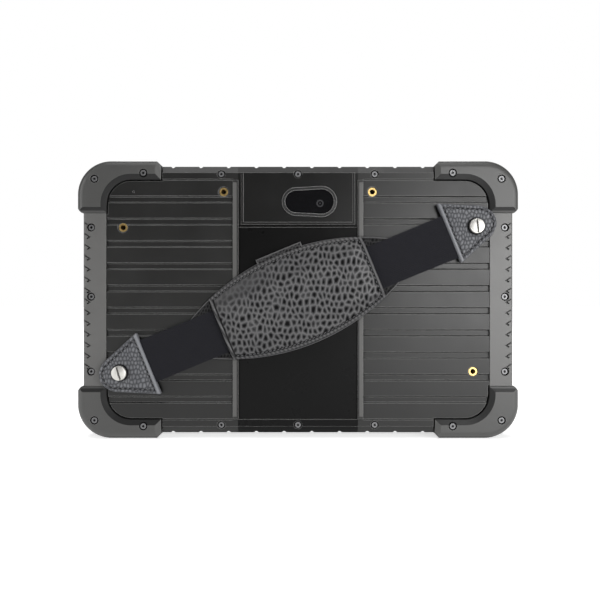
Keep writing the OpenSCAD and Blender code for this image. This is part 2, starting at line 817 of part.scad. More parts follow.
module main_board() {
    color(board_green) back_frame() difference() {
        plate_block(main_board_at, main_board_size, board_front, board_back);
        at_each(main_board_corners) translate([0, 0, board_front - 1]) cylinder(d = 2.2, h = 4);
    }
}

module processor_shield() {
    color("#a9abad") back_frame()
        plate_block([main_board_at[0] - 20, main_board_at[1]], [46, 40], board_back, board_back + 2);
}

module battery_pack() {
    color("#4a4d52") back_frame() plate_block(battery_at, battery_size, plate_back, -back_wall - battery_room);
}

module antenna_board() {
    color(board_green) back_frame()
        plate_block([-78, case_h / 2 - wall - 12], [44, 8], -back_wall - fit_gap - 0.8, -back_wall - fit_gap);
}

module vibration_motor() {
    color("#9a9c9e") back_frame() translate([insert_x - 18, -insert_y - 13, plate_back]) cylinder(d = 10, h = 3);
}

module speaker(side) {
    color("#222224") back_frame() plate_block([side * speaker_x, speaker_y], [speaker_size[0], speaker_size[1]],
        wall_front + fit_gap, wall_front + fit_gap + speaker_size[2]);
}

module speaker_left() {
    speaker(-1);
}

module speaker_right() {
    speaker(1);
}

// ---------- front keys ----------

module key_board() {
    color(board_green) back_frame() {
        difference() {
            plate_block([key_board_x, 0], [key_board_w, 2 * key_post_y + 4], key_board_front, key_board_front + board_t);
            at_each(case_screws_at) translate([0, 0, key_board_front - 1])
                cylinder(d = boss_d + 2 * fit_gap, h = board_t + 2);
        }
        slab(key_board_front - switch_h, key_board_front + tiny) key_places() square(4.5, center = true);
    }
}

module front_key(i) {
    inner = wall_front + fit_gap;
    color(rubber_black) back_frame() translate([key_x, key_ys[i], 0]) {
        slab(-case_t - key_proud, inner + tiny) key_outline(0);
        slab(inner, inner + key_flange) rounded_rect(key_w + 2, key_l + 2, 2);
    }
}

module power_key() {
    front_key(0);
}

module volume_up_key() {
    front_key(1);
}

module volume_down_key() {
    front_key(2);
}

module function_key() {
    front_key(3);
}

// ---------- side ports ----------

module port_board() {
    color(board_green) back_frame() translate([port_face - 17.5, port_bottom, port_board_front])
        cube([16.5, port_top - port_bottom, board_t]);
}

// A metal socket shell with its mouth at the case's side and a tongue inside
module socket(y, size, tongue) {
    low = port_board_back;
    color("#b9bab8") back_frame() translate([port_face - 14, y - size[0] / 2, low]) {
        difference() {
            cube([14, size[0], size[1]]);
            translate([4, 0.5, 0.5]) cube([11, size[0] - 1, size[1] - 1]);
        }
        translate([3.9, size[0] / 2 - tongue[0] / 2, size[1] / 2 - tongue[1] / 2]) cube([9, tongue[0], tongue[1]]);
    }
}

module usb_socket() {
    socket(usb_y, usb_size, [11, 1.8]);
}

module hdmi_socket() {
    socket(hdmi_y, hdmi_size, [8.4, 0.8]);
}

module power_socket() {
    color("#2a2a2c") back_frame() translate([port_face - 14, power_y - power_size[0] / 2, port_board_back]) difference() {
        cube([14, power_size[0], power_size[1]]);
        translate([4, power_size[0] / 2, power_size[1] / 2]) rotate([0, 90, 0]) difference() {
            cylinder(d = 5, h = 12);
            cylinder(d = 1.3, h = 9);
        }
    }
}

module port_cover() {
    low = door_mid - door_w / 2;
    edge = case_w / 2;
    color(rubber_black) back_frame() {
        translate([edge - door_t, door_end, low]) cube([door_t, hinge_y - door_end, door_w]);
        translate([hinge_x, hinge_y, low]) cylinder(r = hinge_r, h = door_w);
        translate([0, 0, low + 1]) linear_extrude(door_w - 2) polygon([
            [edge - tiny, door_end], [edge + pull_out, door_end + 0.3],
            [edge + pull_out, door_end + 2], [edge - tiny, door_end + 6]
        ]);
        for (p = [[usb_y, usb_size], [hdmi_y, hdmi_size], [power_y, power_size]])
            translate([edge - door_t - 0.9, p[0] - p[1][0] / 2 + 0.6, port_board_back + 0.6])
                cube([0.9 + tiny, p[1][0] - 1.2, p[1][1] - 1.2]);
    }
}

// ---------- hand strap ----------

// Outline of a tab whose screw is at the origin and whose outer end points along +x
module tab_outline() {
    hull() {
        for (y = [-1, 1]) {
            translate([-tab_in + tab_r, y * (tab_w / 2 - tab_r)]) circle(tab_r, $fn = 32);
            translate([tab_out - tab_r, y * (tab_end_w / 2 - tab_r)]) circle(tab_r, $fn = 32);
        }
    }
}

module strap_tab(turn) {
    pocket = tab_in - 6;
    color(leather_black) strap_frame() rotate([0, 0, turn]) translate([strap_reach, 0, 0]) difference() {
        slab(tab_bottom, tab_top) tab_outline();
        translate([0, 0, tab_bottom - 1]) cylinder(d = 4.4, h = tab_t + 2);
        translate([-tab_in - 1, -elastic_w / 2 - move_gap, elastic_level - elastic_t / 2 - fit_gap])
            cube([pocket + 1, elastic_w + 2 * move_gap, elastic_t + 2 * fit_gap]);
    }
}

module strap_tab_lower() {
    strap_tab(180);
}

module strap_tab_upper() {
    strap_tab(0);
}

module strap_screw(turn, slot_angle) {
    seat = tab_top + fit_gap;
    dome_r = 14;
    color(nickel) strap_frame() rotate([0, 0, turn]) translate([strap_reach, 0, 0]) difference() {
        union() {
            translate([0, 0, seat]) intersection() {
                cylinder(d = strap_head_d, h = strap_head_h);
                translate([0, 0, strap_head_h - dome_r]) sphere(dome_r);
            }
            translate([0, 0, -insert_sunk - insert_l + 0.6])
                cylinder(d = insert_core_d - 2 * thread_gap, h = seat + insert_l + insert_sunk - 0.6 + tiny);
        }
        rotate([0, 0, slot_angle]) translate([-0.6, -strap_head_d, seat + strap_head_h - 1.3])
            cube([1.2, 2 * strap_head_d, 3]);
    }
}

module strap_screw_lower() {
    strap_screw(180, -strap_angle + 16.5);
}

module strap_screw_upper() {
    strap_screw(0, -strap_angle + 7);
}

module elastic_band() {
    reach = strap_reach - tab_in + (tab_in - 6) - move_gap;
    color("#2a2a30") strap_frame() translate([-reach, -elastic_w / 2, elastic_level - elastic_t / 2])
        cube([2 * reach, elastic_w, elastic_t]);
}

// A pad's outline, with two bowed long edges, made of two crossing circles and cut to length
module bowed_outline(length, mid_w, end_w) {
    rise = (mid_w - end_w) / 2;
    bow_r = (pow(length / 2, 2) + rise * rise) / (2 * rise);
    intersection() {
        translate([0, pad_shift]) square([length, mid_w], center = true);
        translate([0, pad_shift + mid_w / 2 - bow_r]) circle(bow_r, $fn = 180);
        translate([0, pad_shift + bow_r - mid_w / 2]) circle(bow_r, $fn = 180);
    }
}

module hand_pad_base() {
    color(leather_black) strap_frame() slab(base_bottom, base_bottom + base_t)
        bowed_outline(base_l, base_w, base_end_w);
}

module hand_pad_sleeve() {
    slot_low = elastic_level - elastic_t / 2 - 0.2;
    color(leather_black) strap_frame() difference() {
        slab(sleeve_bottom, sleeve_top) bowed_outline(sleeve_l, sleeve_w, sleeve_end_w);
        translate([-sleeve_l, -elastic_w / 2 - move_gap, slot_low])
            cube([2 * sleeve_l, elastic_w + 2 * move_gap, elastic_t + 0.4]);
        translate([-flap_l / 2 - fit_gap, elastic_w / 2 + 2, sleeve_bottom - 1])
            cube([flap_l + 2 * fit_gap, sleeve_w, 1 + flap_t + 2 * fit_gap]);
    }
}

module pad_closure_flap() {
    inner = elastic_w / 2 + 2.2;
    color(leather_black) strap_frame() translate([0, 0, sleeve_bottom + fit_gap]) linear_extrude(flap_t)
        translate([-flap_l / 2, inner]) square([flap_l, pad_shift + sleeve_w / 2 + flap_out - inner]);
}

rear_cover();
front_housing();
perimeter_seal();
chassis_plate();
corner_bumper_top_left();
corner_bumper_top_right();
corner_bumper_bottom_left();
corner_bumper_bottom_right();
side_rail_left();
side_rail_right();
case_screws();
bumper_screws();
threaded_inserts();
camera_trim();
camera_window();
rear_camera_module();
flash_lamp();
cover_glass();
display_panel();
front_camera_module();
main_board();
processor_shield();
battery_pack();
antenna_board();
vibration_motor();
speaker_left();
speaker_right();
key_board();
power_key();
volume_up_key();
volume_down_key();
function_key();
port_board();
usb_socket();
hdmi_socket();
power_socket();
port_cover();
strap_tab_lower();
strap_tab_upper();
strap_screw_lower();
strap_screw_upper();
elastic_band();
hand_pad_base();
hand_pad_sleeve();
pad_closure_flap();
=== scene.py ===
import bpy
import math
import numpy as np
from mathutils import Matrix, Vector


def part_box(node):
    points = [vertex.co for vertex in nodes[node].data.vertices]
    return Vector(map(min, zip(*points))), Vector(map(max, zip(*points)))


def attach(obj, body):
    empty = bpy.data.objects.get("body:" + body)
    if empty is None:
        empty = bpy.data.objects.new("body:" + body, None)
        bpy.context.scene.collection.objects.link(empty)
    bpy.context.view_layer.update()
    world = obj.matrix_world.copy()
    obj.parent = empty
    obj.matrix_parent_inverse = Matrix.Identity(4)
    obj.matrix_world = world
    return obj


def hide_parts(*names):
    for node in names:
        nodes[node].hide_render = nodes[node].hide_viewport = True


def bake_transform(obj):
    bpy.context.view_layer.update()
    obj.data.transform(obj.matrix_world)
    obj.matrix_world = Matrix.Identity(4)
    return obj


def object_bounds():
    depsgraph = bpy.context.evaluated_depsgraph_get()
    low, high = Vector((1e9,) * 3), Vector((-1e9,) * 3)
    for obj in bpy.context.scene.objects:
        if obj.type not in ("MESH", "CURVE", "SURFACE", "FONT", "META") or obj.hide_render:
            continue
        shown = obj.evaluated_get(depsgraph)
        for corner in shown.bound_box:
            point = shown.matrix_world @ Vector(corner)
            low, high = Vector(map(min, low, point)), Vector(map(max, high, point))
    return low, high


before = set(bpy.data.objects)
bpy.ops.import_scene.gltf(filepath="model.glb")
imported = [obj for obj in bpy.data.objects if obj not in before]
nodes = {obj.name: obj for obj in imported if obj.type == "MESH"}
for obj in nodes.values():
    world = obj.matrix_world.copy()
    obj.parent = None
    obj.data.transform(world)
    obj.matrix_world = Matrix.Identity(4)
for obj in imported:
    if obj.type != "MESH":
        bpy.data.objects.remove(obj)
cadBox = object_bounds()
mm = 0.001


# ---- places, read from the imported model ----

def middle(node):
    low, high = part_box(node)
    return (Vector(low) + Vector(high)) / 2


bumperLow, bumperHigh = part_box("corner_bumper_top_right")
backLevel = bumperLow[1] + 1.5 * mm  # y of the back panel, which the bumpers stand proud of
screwLower = middle("strap_screw_lower")
screwUpper = middle("strap_screw_upper")
strapMid = (screwLower + screwUpper) / 2
strapRun = screwUpper - screwLower
strapTilt = math.atan2(strapRun.z, strapRun.x)
strapReach = math.hypot(strapRun.x, strapRun.z) / 2
padOffset = middle("hand_pad_base") - strapMid
padShift = padOffset.z * math.cos(strapTilt) - padOffset.x * math.sin(strapTilt)
print("frame read, strap tilt", round(math.degrees(strapTilt), 2), "reach", round(strapReach, 4),
      "pad shift", round(padShift, 4))


def strapPoint(u, v, h):
    # u runs along the strap, v across it, h outward from the back panel, all in metres
    x = strapMid.x + u * math.cos(strapTilt) - v * math.sin(strapTilt)
    z = strapMid.z + u * math.sin(strapTilt) + v * math.cos(strapTilt)
    return np.stack([x, backLevel - h + 0 * x, z], axis=-1)


# ---- mesh helpers ----

def makePiece(name, points, faces, material, body, smooth=True):
    mesh = bpy.data.meshes.new(name)
    mesh.from_pydata(points.reshape(-1, 3).tolist(), [], faces.tolist())
    mesh.polygons.foreach_set("use_smooth", np.full(len(mesh.polygons), smooth))
    mesh.materials.append(material)
    mesh.update()
    piece = bpy.data.objects.new(name, mesh)
    bpy.context.scene.collection.objects.link(piece)
    if body:
        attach(piece, body)
    return piece


def giveValues(piece, name, values):
    layer = piece.data.attributes.new(name, "FLOAT", "POINT")
    layer.data.foreach_set("value", np.asarray(values, dtype=np.float32).ravel())


def gridFaces(index):
    # quads between neighbours of a table of vertex numbers
    a, b, c, d = index[:-1, :-1], index[1:, :-1], index[1:, 1:], index[:-1, 1:]
    return np.stack([a, b, c, d], axis=-1).reshape(-1, 4)


def closedRing(index):
    # the first column again after the last, so that the quads go all the way round
    return np.concatenate([index, index[:, :1]], axis=1)


def easedSteps(count, edge):
    # -1 to 1, packed closer towards both ends
    line = np.linspace(-1, 1, count)
    return line * (1 - edge) + edge * np.sin(line * math.pi / 2)


def cellNoise(x, y, seed, jitter=0.6):
    # distances to the nearest and the second nearest of the jittered points of staggered rows
    nearest = np.full(x.shape, 9.0)
    second = np.full(x.shape, 9.0)
    for rowStep in (-1, 0, 1):
        cy = np.floor(y) + rowStep
        lean = 0.5 * np.mod(cy, 2)
        for columnStep in (-1, 0, 1):
            cx = np.floor(x - lean) + columnStep
            jx = np.modf(np.abs(np.sin(cx * 12.9898 + cy * 78.233 + seed) * 43758.5453))[0] - 0.5
            jy = np.modf(np.abs(np.sin(cx * 39.3461 + cy * 11.135 + seed) * 24634.6345))[0] - 0.5
            gap = np.hypot(x - lean - cx - 0.5 - jitter * jx, y - cy - 0.5 - jitter * jy)
            second = np.minimum(second, np.maximum(nearest, gap))
            nearest = np.minimum(nearest, gap)
    return nearest, second


def smooth(value):
    value = np.clip(value, 0, 1)
    return value * value * (3 - 2 * value)


def grainNet(points, seed, pitch, tall):
    # 1 on the net of ridges of the grain, 0 in the pits between them; the pits stand upright
    wobble = 0.2 * np.sin(points[..., 0] / pitch * 0.9 + seed) * np.cos(points[..., 2] / pitch * 0.7)
    across, up = points[..., 0] / pitch, points[..., 2] / (pitch * tall)
    nearest, second = cellNoise(across + wobble, up + wobble, seed)
    return np.clip(1.04 - (second - nearest) / 0.75, 0, 1) ** 1.4


def pillow(name, body, material, settings, halfWidth, bottom, thickness, seed):
    # A closed leather piece on a grid: stations run along u, and rows across between the two edges.
    # Its top is its bottom plus a thickness that grows from nothing at the outline.
    low, high = settings["from"], settings["to"]
    s = (easedSteps(settings["stations"], 0.35) + 1) / 2
    t = easedSteps(settings["rows"], 0.35)
    u, across = np.meshgrid(low + (high - low) * s, t, indexing="ij")
    half = halfWidth(u)
    v = across * half + settings["shift"](u)
    slope = np.gradient(halfWidth(u[:, 0]), u[:, 0])[:, None]
    toSide = half * (1 - np.abs(across)) / np.hypot(1, slope)
    edge = np.maximum(np.minimum(toSide, np.minimum(u - low, high - u)), 0)
    base = bottom(u, v, edge)
    full = thickness(u, v, edge)
    flat = strapPoint(u, v, base)
    calm = smooth((edge - settings["rim"]) / (0.9 * mm))
    net = grainNet(flat, seed, settings["pitch"], settings["tall"])
    if settings.get("pebbles"):
        net = 1 - 0.75 * net
    if "pulled" in settings:
        # the grain is nearly flat along the upper left, as in the photograph
        flatness = smooth((across - 0.2) / 0.7) * smooth((settings["pulled"] - u) / (35 * mm))
        net = net + (0.6 - net) * 0.8 * flatness
    rim = settings["rimTone"]
    if "needle" in settings:
        # painted highlight and shade in dashes along the rim, standing for puckers between the needle holes
        # of its seam
        along = np.cos((u + 0.2 * v) * 2 * math.pi / settings["needle"])
        rim = rim * (0.35 + 0.65 * smooth(0.5 - 0.5 * along))
    tone = rim + (net * settings.get("dim", 1) - rim) * calm
    # painted shade along the seam's groove
    if "seam" in settings:
        tone = tone * (1 - 0.9 * np.exp(-((edge - settings["seam"]) / (0.55 * mm)) ** 2))
    if "fold" in settings:
        # the smooth turned edge across the end of the piece
        fold = 1 - smooth((np.abs(u - settings["foldAt"]) - settings["fold"]) / (0.4 * mm))
        tone = tone + (settings["foldTone"] - tone) * fold * smooth(edge / (0.4 * mm))
        calm = calm * (1 - fold)
    if "screwAt" in settings:
        # a painted contact shadow: a dark ring round the strap screw, following the photograph
        around = np.hypot(u - settings["screwAt"], v)
        tone = tone * smooth((around - 5.0 * mm) / (1.1 * mm))
    roll = np.sqrt(1 - (1 - np.clip(edge / settings["roll"], 0, 1)) ** 2)
    top = base + 0.5 * full + (0.5 * full - settings["grain"] * (1 - net) * calm) * roll
    under = base + 0.5 * full - 0.5 * full * roll
    rows, columns = u.shape
    topIndex = np.arange(rows * columns).reshape(rows, columns)
    innerIndex = np.arange((rows - 2) * (columns - 2)).reshape(rows - 2, columns - 2)
    underIndex = topIndex.copy()
    underIndex[1:-1, 1:-1] = rows * columns + innerIndex
    topPoints = strapPoint(u, v, top)
    underPoints = strapPoint(u, v, under)[1:-1, 1:-1]
    points = np.concatenate([topPoints.reshape(-1, 3), underPoints.reshape(-1, 3)])
    faces = np.concatenate([gridFaces(topIndex), gridFaces(underIndex)[:, ::-1]])
    piece = makePiece(name, points, faces, material, body)
    # the grain value also carries painted shade and highlight: rim dashes, seam line and the ring round the
    # strap screw
    giveValues(piece, "grain", np.concatenate([tone.ravel(), tone[1:-1, 1:-1].ravel()]))
    return piece, (u, v, top)


def heightAt(sheet, u, v):
    # height of the nearest grid point of a pillow's top
    gridU, gridV, top = sheet
    i = np.clip(np.searchsorted(gridU[:, 0], u), 1, gridU.shape[0] - 1)
    i = np.where(np.abs(gridU[i, 0] - u) < np.abs(gridU[i - 1, 0] - u), i, i - 1)
    j = np.argmin(np.abs(gridV[i] - v[:, None]), axis=1)
    return top[i, j]


def stitches(name, body, material, sheet, route, settings):
    # Thread capsules laid end to end along a route of (u, v) points, half sunk in the leather
    step = np.hypot(*np.diff(route, axis=0).T)
    along = np.concatenate([[0], np.cumsum(step)])
    count = int(along[-1] / settings["pitch"])
    places = (np.arange(count) + 0.5) * along[-1] / count
    u, v = np.interp(places, along, route[:, 0]), np.interp(places, along, route[:, 1])
    ahead = places + 0.3 * mm
    du, dv = np.interp(ahead, along, route[:, 0]) - u, np.interp(ahead, along, route[:, 1]) - v
    size = np.hypot(du, dv)
    du, dv = du / size, dv / size
    turn = settings.get("slant", 0)
    du, dv = du * math.cos(turn) - dv * math.sin(turn), du * math.sin(turn) + dv * math.cos(turn)
    lengths = np.array([-1, -0.9, -0.55, 0, 0.55, 0.9, 1]) * settings["length"] / 2
    radii = np.array([0.05, 0.55, 0.92, 1, 0.92, 0.55, 0.05]) * settings["radius"]
    dip = -0.35 * settings["radius"] * (np.abs(lengths) / lengths[-1]) ** 2
    sides = 8
    angles = np.arange(sides) * 2 * math.pi / sides
    a = lengths[:, None] + 0 * angles
    b = radii[:, None] * np.cos(angles)
    c = radii[:, None] * np.sin(angles) + dip[:, None]
    level = heightAt(sheet, u, v) + settings["rise"]
    pu = u[:, None, None] + a * du[:, None, None] - b * dv[:, None, None]
    pv = v[:, None, None] + a * dv[:, None, None] + b * du[:, None, None]
    points = strapPoint(pu, pv, level[:, None, None] + c)
    ring = np.arange(len(lengths) * sides).reshape(-1, sides)
    oneFaces = gridFaces(closedRing(ring))[:, ::-1]
    faces = (oneFaces[None] + (np.arange(count) * ring.size)[:, None, None]).reshape(-1, 4)
    return makePiece(name, points, faces, material, body)


# ---- materials ----

def newMaterial(name):
    material = bpy.data.materials.new(name)
    material.use_nodes = True
    tree = material.node_tree
    return material, tree, tree.nodes["Principled BSDF"]


def feed(tree, socket, value):
    # value is another node's output, or a constant
    if hasattr(value, "links"):
        tree.links.new(value, socket)
    else:
        socket.default_value = value


def add(tree, kind, values=None, **inputs):
    node = tree.nodes.new(kind)
    for key, value in (values or {}).items():
        setattr(node, key, value)
    for key, value in inputs.items():
        feed(tree, node.inputs[key.replace("_", " ")], value)
    return node


def objectSpace(tree):
    return add(tree, "ShaderNodeTexCoord").outputs["Object"]


mixSockets = {"factor": 0, "first": 6, "second": 7, "result": 2}


def blendColour(tree, factor, first, second, kind="MIX"):
    # each colour is three numbers or another node's output
    mix = add(tree, "ShaderNodeMix", {"data_type": "RGBA", "blend_type": kind})
    feed(tree, mix.inputs[mixSockets["factor"]], factor)
    for side, colour in (("first", first), ("second", second)):
        feed(tree, mix.inputs[mixSockets[side]], (*colour, 1) if isinstance(colour, tuple) else colour)
    return mix.outputs[mixSockets["result"]]


def noise(tree, place, scale, detail, roughness=0.5):
    values = {"Vector": place, "Scale": scale, "Detail": detail, "Roughness": roughness}
    return add(tree, "ShaderNodeTexNoise", **values).outputs["Fac"]


def bevelNormal(tree, radius):
    return add(tree, "ShaderNodeBevel", {"samples": 4}, Radius=radius).outputs["Normal"]


def setBump(tree, shader, strength, distance, height, normal=None):
    bump = add(tree, "ShaderNodeBump", Strength=strength, Distance=distance, Height=height)
    if normal:
        tree.links.new(normal, bump.inputs["Normal"])
    tree.links.new(bump.outputs["Normal"], shader.inputs["Normal"])


def spread(tree, value, low, high, toLow=0.0, toHigh=1.0):
    ramp = add(tree, "ShaderNodeMapRange", {"clamp": True})
    tree.links.new(value, ramp.inputs["Value"])
    for key, number in (("From Min", low), ("From Max", high), ("To Min", toLow), ("To Max", toHigh)):
        ramp.inputs[key].default_value = number
    return ramp.outputs["Result"]


def mathNode(tree, operation, first, second=None):
    node = add(tree, "ShaderNodeMath", {"operation": operation})
    feed(tree, node.inputs[0], first)
    if second is not None:
        feed(tree, node.inputs[1], second)
    return node.outputs[0]


def paintCreviceShade(tree, colour, reach, low, high):
    # painted shade: the colour is multiplied down where little of the sky is open, to follow the photograph
    sky = add(tree, "ShaderNodeAmbientOcclusion", {"samples": 6}, Distance=reach).outputs["AO"]
    clear = spread(tree, sky, low, high)
    shade = blendColour(tree, clear, (0.04, 0.04, 0.04), (1.0, 1.0, 1.0))
    return blendColour(tree, 1.0, colour, shade, "MULTIPLY"), clear


def paintEdgeHighlight(tree, colour, soft, edgeHighlightTone):
    # painted highlight: lighter where the bevel normal differs from the face's own
    face = add(tree, "ShaderNodeNewGeometry").outputs["Normal"]
    same = add(tree, "ShaderNodeVectorMath", {"operation": "DOT_PRODUCT"})
    tree.links.new(soft, same.inputs[0])
    tree.links.new(face, same.inputs[1])
    edge = spread(tree, same.outputs["Value"], 0.995, 0.93)
    return blendColour(tree, edge, colour, (edgeHighlightTone, edgeHighlightTone, 0.98 * edgeHighlightTone))


def middleBand(tree, place, colour, centre):
    # the smooth dark band below the camera's panel, and a painted highlight as a light strip on the rib at
    # each side of it;
    # the tones follow the photograph
    split = add(tree, "ShaderNodeSeparateXYZ", Vector=place)
    out = mathNode(tree, "ABSOLUTE", split.outputs["X"])
    beside = spread(tree, out, centre["half"] - 0.1 * mm, centre["half"])
    above = spread(tree, split.outputs["Z"], centre["top"] - 0.1 * mm, centre["top"], 0.0, centre["panel"])
    plain = mathNode(tree, "MAXIMUM", beside, above)
    tinted = blendColour(tree, plain, centre["colour"], colour)
    fromMiddle = mathNode(tree, "SUBTRACT", split.outputs["Z"], centre["middle"])
    tall = mathNode(tree, "ABSOLUTE", fromMiddle)
    inside = spread(tree, out, centre["half"] + 0.4 * mm, centre["half"] + 0.9 * mm)
    outside = spread(tree, out, centre["edge"], centre["edge"] - 0.5 * mm)
    # the painted highlight strip beside the middle band
    stripHighlight = mathNode(tree, "MULTIPLY", inside, outside)
    stripHighlight = mathNode(tree, "MULTIPLY", stripHighlight, spread(tree, tall, centre["tall"], centre["tall"] - 1 * mm))
    return blendColour(tree, stripHighlight, tinted, centre["step"]), plain


def innerSlopeShadeMask(tree, place, inner):
    # mask for painted shade: 0 on the slopes that face the middle of the back, near its outline, and 1
    # elsewhere
    face = add(tree, "ShaderNodeNewGeometry").outputs["Normal"]
    normal = add(tree, "ShaderNodeSeparateXYZ", Vector=face)
    split = add(tree, "ShaderNodeSeparateXYZ", Vector=place)
    inward = 0
    for axis, middleAt, beyond in (("X", 0, inner["side"]), ("Z", inner["middle"], inner["tall"])):
        out = mathNode(tree, "SUBTRACT", split.outputs[axis], middleAt)
        far = spread(tree, mathNode(tree, "ABSOLUTE", out), beyond - 3 * mm, beyond)
        turned = mathNode(tree, "MULTIPLY", normal.outputs[axis], mathNode(tree, "SIGN", out))
        inward = mathNode(tree, "ADD", inward, mathNode(tree, "MULTIPLY", turned, far))
    return spread(tree, inward, -0.25, -0.1)


def mouldedMaterial(name, dark, light, roughness, grainSize, grainDepth, edge, edgeHighlightTone=0.0, centre=None,
                    shine=0.5, inner=None):
    # Moulding: a fine stipple over slow patches of tone. Edges are rounded by the bevel normal. With an
    # edge highlight tone, edges get a painted highlight and crevices painted shade, as the photograph is
    # lit; it isn't known wear.
    material, tree, shader = newMaterial(name)
    place = objectSpace(tree)
    patches = noise(tree, place, 38.0, 4.0, 0.6)
    stipple = noise(tree, place, 1 / grainSize, 2.0, 0.7)
    soft = bevelNormal(tree, edge)
    colour = blendColour(tree, patches, dark, light)
    rough = spread(tree, patches, 0.3, 0.7, roughness - 0.04, roughness + 0.04)
    gleam = shine
    if centre:
        colour, plain = middleBand(tree, place, colour, centre)
        rough = mathNode(tree, "MULTIPLY", rough, spread(tree, plain, 0, 1, centre["gloss"], 1.0))
        gleam = spread(tree, plain, 0, 1, centre["shine"], shine)
    # painted highlight on the edges and painted shade in the crevices
    if edgeHighlightTone:
        colour = paintEdgeHighlight(tree, colour, soft, edgeHighlightTone)
        colour, clear = paintCreviceShade(tree, colour, 2.0 * mm, 0.4, 0.85)
        gleam = mathNode(tree, "MULTIPLY", spread(tree, clear, 0, 1, 0.1, 1.0), gleam)
    # painted shade on the slopes that face the middle of the back
    if inner:
        plain = innerSlopeShadeMask(tree, place, inner)
        colour = blendColour(tree, plain, inner["colour"], colour)
        gleam = mathNode(tree, "MULTIPLY", spread(tree, plain, 0, 1, 0.35, 1.0), gleam)
    tree.links.new(colour, shader.inputs["Base Color"])
    tree.links.new(rough, shader.inputs["Roughness"])
    feed(tree, shader.inputs["Specular IOR Level"], gleam)
    setBump(tree, shader, 1.0, grainDepth, stipple, soft)
    return material


def metalMaterial(name, colour, roughness, edge, scratch=0.03 * mm, shadeCrevices=False):
    material, tree, shader = newMaterial(name)
    rub = noise(tree, objectSpace(tree), 900.0, 3.0, 0.65)
    tone = blendColour(tree, rub, tuple(0.78 * part for part in colour), colour)
    # painted shade in the crevices, such as screw sockets
    if shadeCrevices:
        tone = paintCreviceShade(tree, tone, 1.2 * mm, 0.5, 0.9)[0]
    tree.links.new(tone, shader.inputs["Base Color"])
    tree.links.new(spread(tree, rub, 0.3, 0.7, roughness, roughness + 0.14), shader.inputs["Roughness"])
    shader.inputs["Metallic"].default_value = 1.0
    setBump(tree, shader, 0.6, scratch, rub, bevelNormal(tree, edge))
    return material


def leatherMaterial(name, crease, pebble):
    # the grain value of each point darkens the creases, partly the leather's own tone and partly painted
    # shade, and a fine pore noise roughens both
    material, tree, shader = newMaterial(name)
    place = objectSpace(tree)
    grain = add(tree, "ShaderNodeAttribute", {"attribute_name": "grain"}).outputs["Fac"]
    patches = noise(tree, place, 60.0, 3.0)
    colour = blendColour(tree, spread(tree, grain, 0.0, 1.0), crease, pebble)
    tint = spread(tree, patches, 0.3, 0.7, 0.0, 0.45)
    colour = blendColour(tree, tint, colour, (0.55, 0.56, 0.6), "MULTIPLY")
    tree.links.new(colour, shader.inputs["Base Color"])
    tree.links.new(spread(tree, grain, 0.0, 1.0, 0.65, 0.42), shader.inputs["Roughness"])
    tree.links.new(spread(tree, grain, 0.1, 0.9, 0.04, 0.4), shader.inputs["Specular IOR Level"])
    setBump(tree, shader, 0.8, 0.05 * mm, noise(tree, place, 2600.0, 3.0, 0.6))
    return material


def weaveMaterial(name, dark, light):
    # plain weave: two crossed waves on the band's own length and width
    material, tree, shader = newMaterial(name)
    cloth = add(tree, "ShaderNodeUVMap", {"uv_map": "weave"}).outputs["UV"]
    warpWave = {"Vector": cloth, "Scale": 0.5, "Distortion": 1.2, "Detail": 1.0}
    weftWave = {"Vector": cloth, "Scale": 0.7, "Distortion": 1.6, "Detail": 1.0}
    warp = add(tree, "ShaderNodeTexWave", {"bands_direction": "Y"}, **warpWave).outputs["Fac"]
    weft = add(tree, "ShaderNodeTexWave", {"bands_direction": "X"}, **weftWave).outputs["Fac"]
    threads = mathNode(tree, "MULTIPLY", warp, weft)
    fuzz = mathNode(tree, "MULTIPLY", noise(tree, objectSpace(tree), 3200.0, 2.0), 0.5)
    height = mathNode(tree, "ADD", fuzz, threads)
    tree.links.new(blendColour(tree, height, dark, light), shader.inputs["Base Color"])
    shader.inputs["Roughness"].default_value = 0.88
    shader.inputs["Specular IOR Level"].default_value = 0.2
    shader.inputs["Sheen Weight"].default_value = 0.05
    shader.inputs["Sheen Roughness"].default_value = 0.5
    setBump(tree, shader, 0.9, 0.12 * mm, height)
    return material


def paintedEye(tree, tone, eye):
    # a faint ring and dot on the glass, in line with the camera behind it
    across = add(tree, "ShaderNodeVectorMath", {"operation": "MULTIPLY"})
    tree.links.new(objectSpace(tree), across.inputs[0])
    across.inputs[1].default_value = (1, 0, 1)
    away = add(tree, "ShaderNodeVectorMath", {"operation": "DISTANCE"})
    tree.links.new(across.outputs["Vector"], away.inputs[0])
    away.inputs[1].default_value = (eye.x, 0, eye.z)
    reach = away.outputs["Value"]
    ringRadius = 1.9 * mm
    fromRing = mathNode(tree, "ABSOLUTE", mathNode(tree, "SUBTRACT", reach, ringRadius))
    ring = spread(tree, fromRing, 0.7 * mm, 0.2 * mm)
    dot = spread(tree, reach, 0.7 * mm, 0.3 * mm)
    return blendColour(tree, mathNode(tree, "MAXIMUM", ring, dot), tone, (0.03, 0.03, 0.032))


def glassMaterial(name, colour, roughness, eye=None):
    # dark glass with faint dust, drawn as a glossy opaque sheet
    material, tree, shader = newMaterial(name)
    dust = noise(tree, objectSpace(tree), 160.0, 6.0, 0.7)
    tree.links.new(spread(tree, dust, 0.45, 0.8, roughness, roughness + 0.12), shader.inputs["Roughness"])
    dusty = tuple(1.5 * part for part in colour)
    tone = blendColour(tree, spread(tree, dust, 0.5, 0.9), colour, dusty)
    if eye:
        tone = paintedEye(tree, tone, eye)
    tree.links.new(tone, shader.inputs["Base Color"])
    shader.inputs["Specular IOR Level"].default_value = 0.5
    return material


midHeight = (cadBox[0][2] + cadBox[1][2]) / 2
